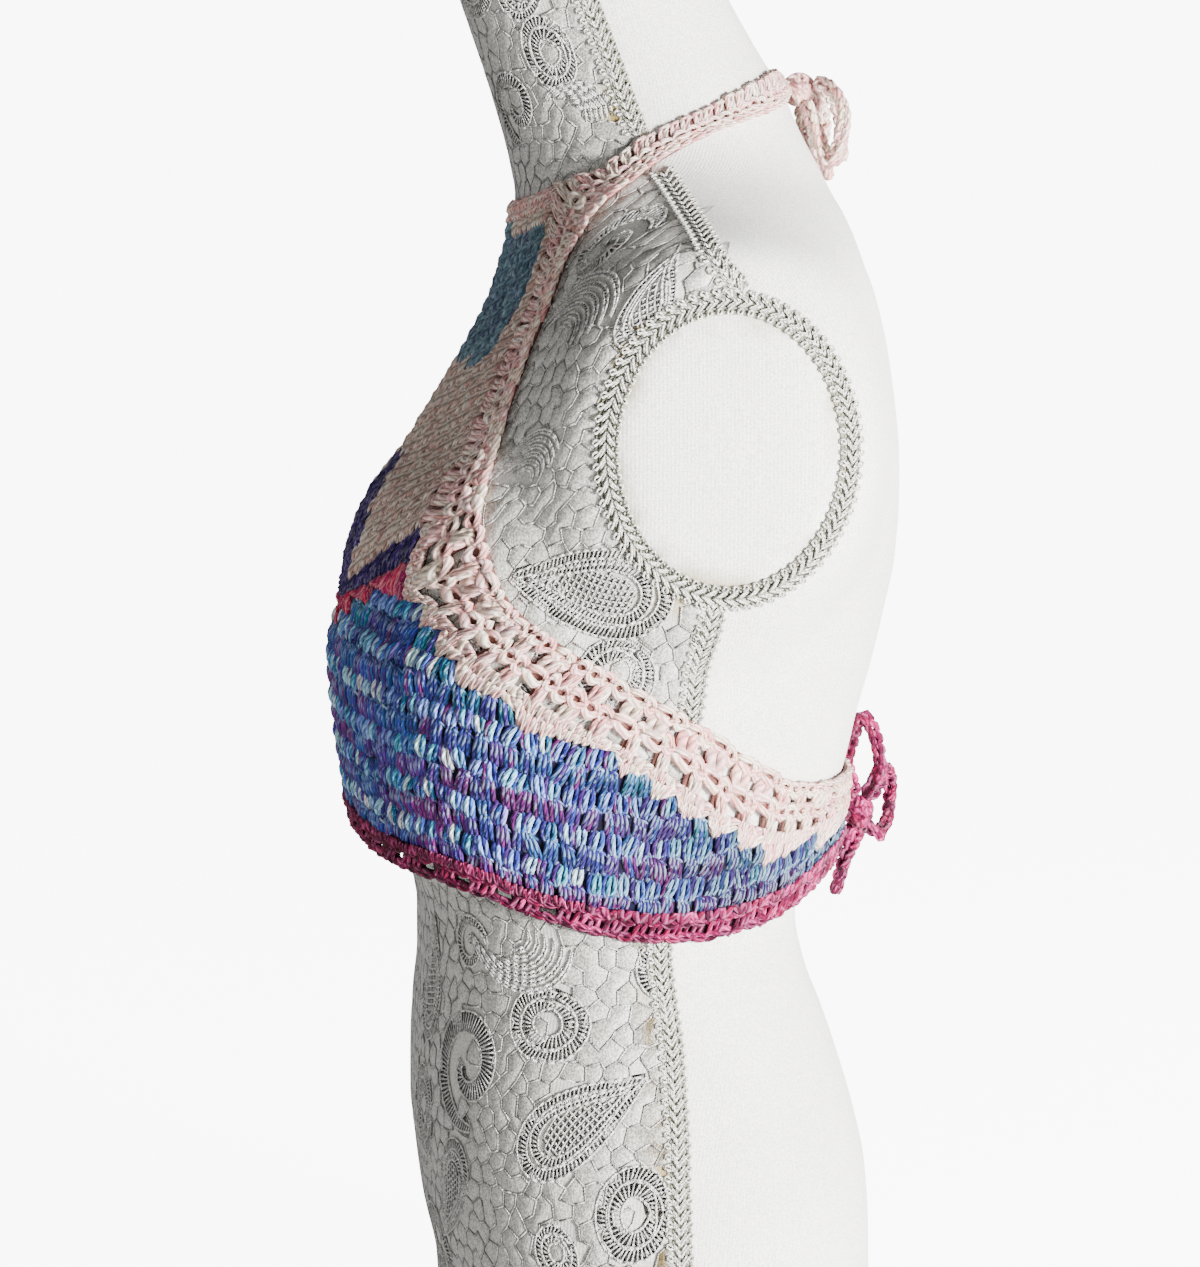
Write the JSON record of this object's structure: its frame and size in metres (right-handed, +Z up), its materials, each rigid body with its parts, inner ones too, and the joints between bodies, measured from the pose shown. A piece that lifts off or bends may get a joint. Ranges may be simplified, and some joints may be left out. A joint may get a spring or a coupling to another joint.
{
  "type": "crochet halter top on a dress form",
  "caption": "Cropped halter top crocheted in bands of colour, tied at nape and back, worn by a limbless dress form.",
  "frame": {"origin": "centre of the dress form's flat base, on the surface it stands on, below the middle of the bounding box", "axes": "+Z up; the garment's front looks along -Y; +X is the wearer's left"},
  "size_m": [0.3154, 0.2503, 0.631],
  "materials": {
    "form_cover": "ivory lace over pale grey knit at the front, plain white knit at the back",
    "plate_cover": "plain white knit",
    "blue_yarn": "soft cotton yarn, variegated blue, teal, violet and white",
    "coral_yarn": "soft cotton yarn, variegated coral and crimson",
    "violet_yarn": "soft cotton yarn, dusky violet",
    "pink_yarn": "soft cotton yarn, pale pink",
    "raspberry_yarn": "soft cotton yarn, raspberry flecked with pink"
  },
  "bodies": {
    "root": {"dress_form": "form_cover", "armhole_plate_left": "plate_cover", "armhole_plate_right": "plate_cover", "body_band": "blue_yarn", "coral_stripe": "coral_yarn", "violet_stripe": "violet_yarn", "bib": "pink_yarn", "neckline_edging": "pink_yarn", "neck_strap_left": "pink_yarn", "neck_strap_right": "pink_yarn", "armhole_edging_left": "pink_yarn", "armhole_edging_right": "pink_yarn", "hem_edging_left": "raspberry_yarn", "hem_edging_right": "raspberry_yarn", "back_tie_left": "raspberry_yarn", "back_tie_right": "raspberry_yarn", "back_knot": "raspberry_yarn", "back_loop_left": "raspberry_yarn", "back_loop_right": "raspberry_yarn", "back_tail_left": "raspberry_yarn", "back_tail_right": "raspberry_yarn", "nape_knot": "pink_yarn", "nape_loop_left": "pink_yarn", "nape_loop_right": "pink_yarn", "nape_tail_left": "pink_yarn", "nape_tail_right": "pink_yarn"}
  },
  "joints": []
}
